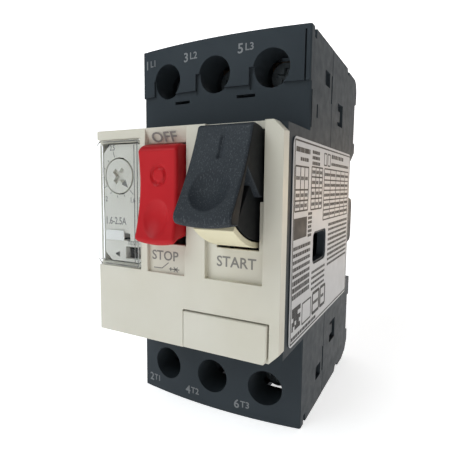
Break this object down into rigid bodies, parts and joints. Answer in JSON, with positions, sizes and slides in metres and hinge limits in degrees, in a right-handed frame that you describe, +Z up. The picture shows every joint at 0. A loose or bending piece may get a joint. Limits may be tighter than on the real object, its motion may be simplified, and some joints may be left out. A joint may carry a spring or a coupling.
{
  "type": "motor protection breaker",
  "caption": "Rail-mounted push-button motor protection breaker with current dial behind a clear window, side label, terminal screws and a rail clip.",
  "frame": {"origin": "middle of the bottom of the bounding box, with the line terminals up", "axes": "+Z up towards the line terminals, -Y out of the front with the push buttons, +X to the right seen from the front"},
  "size_m": [0.0452, 0.078, 0.089],
  "materials": {
    "black_housing": "moulded, faint grain",
    "cream_cover": "moulded, satin",
    "cream_insert": "moulded, satin",
    "start_black": "moulded, fine texture",
    "stop_red": "moulded, semi-gloss",
    "clear_window": "clear moulded plastic",
    "label_film": "printed film",
    "steel": "zinc plated",
    "copper": "plain copper",
    "white_moulding": "moulded"
  },
  "bodies": {
    "housing": {"rear_housing": "black_housing", "front_housing": "black_housing", "front_cover": "cream_cover", "stop_pin": "steel", "start_pin": "steel", "setting_plate": "cream_cover", "side_label": "label_film", "latch_pin": "steel", "mechanism_frame": "steel", "rail_clip_spring": "steel", "line_contact_1": "copper", "line_contact_2": "copper", "line_contact_3": "copper", "load_contact_1": "copper", "load_contact_2": "copper", "load_contact_3": "copper", "load_terminal_1": "copper", "load_terminal_2": "copper", "load_terminal_3": "copper", "magnetic_coil_1": "copper", "magnetic_coil_2": "copper", "magnetic_coil_3": "copper", "bimetal_strip_1": "steel", "bimetal_strip_2": "steel", "bimetal_strip_3": "steel", "arc_chute_1": "steel", "arc_chute_2": "steel", "arc_chute_3": "steel"},
    "start": {"start_button": "start_black", "start_plunger": "black_housing", "start_insert": "cream_insert"},
    "stop": {"stop_button": "stop_red"},
    "dial": {"current_dial": "cream_cover", "dial_cam": "white_moulding"},
    "test": {"test_slider": "cream_cover"},
    "window": {"window_cover": "clear_window"},
    "flap": {"auxiliary_flap": "cream_cover"},
    "carrier": {"contact_carrier": "white_moulding", "moving_contact_1": "copper", "moving_contact_2": "copper", "moving_contact_3": "copper", "contact_spring_1": "steel", "contact_spring_2": "steel", "contact_spring_3": "steel"},
    "trip": {"trip_bar": "white_moulding"},
    "latch": {"latch_lever": "steel"},
    "clip": {"rail_clip": "white_moulding"},
    "line_screw_1": {"line_screw_1": "steel"},
    "line_clamp_1": {"line_clamp_1": "steel"},
    "line_screw_2": {"line_screw_2": "steel"},
    "line_clamp_2": {"line_clamp_2": "steel"},
    "line_screw_3": {"line_screw_3": "steel"},
    "line_clamp_3": {"line_clamp_3": "steel"},
    "load_screw_1": {"load_screw_1": "steel"},
    "load_clamp_1": {"load_clamp_1": "steel"},
    "load_screw_2": {"load_screw_2": "steel"},
    "load_clamp_2": {"load_clamp_2": "steel"},
    "load_screw_3": {"load_screw_3": "steel"},
    "load_clamp_3": {"load_clamp_3": "steel"}
  },
  "joints": [
    {"name": "start_press", "type": "hinge", "parent": "housing", "child": "start", "pos_m": [0.0127, -0.0229, 0.064], "axis": [1, 0, 0], "range_deg": [0, 20], "stiffness_Nm_per_rad": 0.12, "springref_deg": -5.73},
    {"name": "stop_press", "type": "hinge", "parent": "housing", "child": "stop", "pos_m": [-0.0034, -0.0229, 0.064], "axis": [1, 0, 0], "range_deg": [0, 8], "stiffness_Nm_per_rad": 0.2, "springref_deg": -4.58},
    {"name": "dial_turn", "type": "hinge", "parent": "housing", "child": "dial", "pos_m": [-0.017, -0.026, 0.0572], "axis": [0, 1, 0], "range_deg": [0, 208]},
    {"name": "test_slide", "type": "slide", "parent": "housing", "child": "test", "axis": [1, 0, 0], "range_m": [0, 0.002], "stiffness_N_per_m": 200, "springref_m": -0.001},
    {"name": "window_open", "type": "hinge", "parent": "housing", "child": "window", "pos_m": [-0.0223, -0.0269, 0.051], "axis": [0, 0, -1], "range_deg": [0, 110]},
    {"name": "flap_open", "type": "hinge", "parent": "housing", "child": "flap", "pos_m": [0.01075, -0.0266, 0.0215], "axis": [1, 0, 0], "range_deg": [0, 95]},
    {"name": "carrier_slide", "type": "slide", "parent": "housing", "child": "carrier", "axis": [0, 1, 0], "range_m": [0, 0.00296]},
    {"name": "trip_slide", "type": "slide", "parent": "housing", "child": "trip", "axis": [1, 0, 0], "range_m": [0, 0.002]},
    {"name": "latch_turn", "type": "hinge", "parent": "housing", "child": "latch", "pos_m": [-0.0034, -0.003, 0.058], "axis": [1, 0, 0], "range_deg": [0, 13]},
    {"name": "clip_slide", "type": "slide", "parent": "housing", "child": "clip", "axis": [0, 0, -1], "range_m": [0, 0.0035], "stiffness_N_per_m": 1400, "springref_m": -0.002, "deforming": ["rail_clip_spring"]},
    {"name": "line_screw_turn_1", "type": "hinge", "parent": "housing", "child": "line_screw_1", "pos_m": [-0.0138, 0.001, 0.0808], "axis": [0, 1, 0], "range_deg": [0, 1080]},
    {"name": "line_clamp_draw_1", "type": "slide", "parent": "housing", "child": "line_clamp_1", "axis": [0, -1, 0], "range_m": [0, 0.0021]},
    {"name": "line_screw_turn_2", "type": "hinge", "parent": "housing", "child": "line_screw_2", "pos_m": [0, 0.001, 0.0808], "axis": [0, 1, 0], "range_deg": [0, 1080]},
    {"name": "line_clamp_draw_2", "type": "slide", "parent": "housing", "child": "line_clamp_2", "axis": [0, -1, 0], "range_m": [0, 0.0021]},
    {"name": "line_screw_turn_3", "type": "hinge", "parent": "housing", "child": "line_screw_3", "pos_m": [0.0138, 0.001, 0.0808], "axis": [0, 1, 0], "range_deg": [0, 1080]},
    {"name": "line_clamp_draw_3", "type": "slide", "parent": "housing", "child": "line_clamp_3", "axis": [0, -1, 0], "range_m": [0, 0.0021]},
    {"name": "load_screw_turn_1", "type": "hinge", "parent": "housing", "child": "load_screw_1", "pos_m": [-0.0138, 0.001, 0.0082], "axis": [0, 1, 0], "range_deg": [0, 1080]},
    {"name": "load_clamp_draw_1", "type": "slide", "parent": "housing", "child": "load_clamp_1", "axis": [0, -1, 0], "range_m": [0, 0.0021]},
    {"name": "load_screw_turn_2", "type": "hinge", "parent": "housing", "child": "load_screw_2", "pos_m": [0, 0.001, 0.0082], "axis": [0, 1, 0], "range_deg": [0, 1080]},
    {"name": "load_clamp_draw_2", "type": "slide", "parent": "housing", "child": "load_clamp_2", "axis": [0, -1, 0], "range_m": [0, 0.0021]},
    {"name": "load_screw_turn_3", "type": "hinge", "parent": "housing", "child": "load_screw_3", "pos_m": [0.0138, 0.001, 0.0082], "axis": [0, 1, 0], "range_deg": [0, 1080]},
    {"name": "load_clamp_draw_3", "type": "slide", "parent": "housing", "child": "load_clamp_3", "axis": [0, -1, 0], "range_m": [0, 0.0021]}
  ],
  "couplings": [
    {"joint": "start_press", "follows": "carrier_slide", "rad_per_m": 117.6},
    {"joint": "trip_slide", "follows": "test_slide", "ratio": 1},
    {"joint": "latch_turn", "follows": "stop_press", "ratio": 1.6},
    {"joint": "line_screw_turn_1", "follows": "line_clamp_draw_1", "rad_per_m": 8970},
    {"joint": "line_screw_turn_2", "follows": "line_clamp_draw_2", "rad_per_m": 8970},
    {"joint": "line_screw_turn_3", "follows": "line_clamp_draw_3", "rad_per_m": 8970},
    {"joint": "load_screw_turn_1", "follows": "load_clamp_draw_1", "rad_per_m": 8970},
    {"joint": "load_screw_turn_2", "follows": "load_clamp_draw_2", "rad_per_m": 8970},
    {"joint": "load_screw_turn_3", "follows": "load_clamp_draw_3", "rad_per_m": 8970}
  ]
}
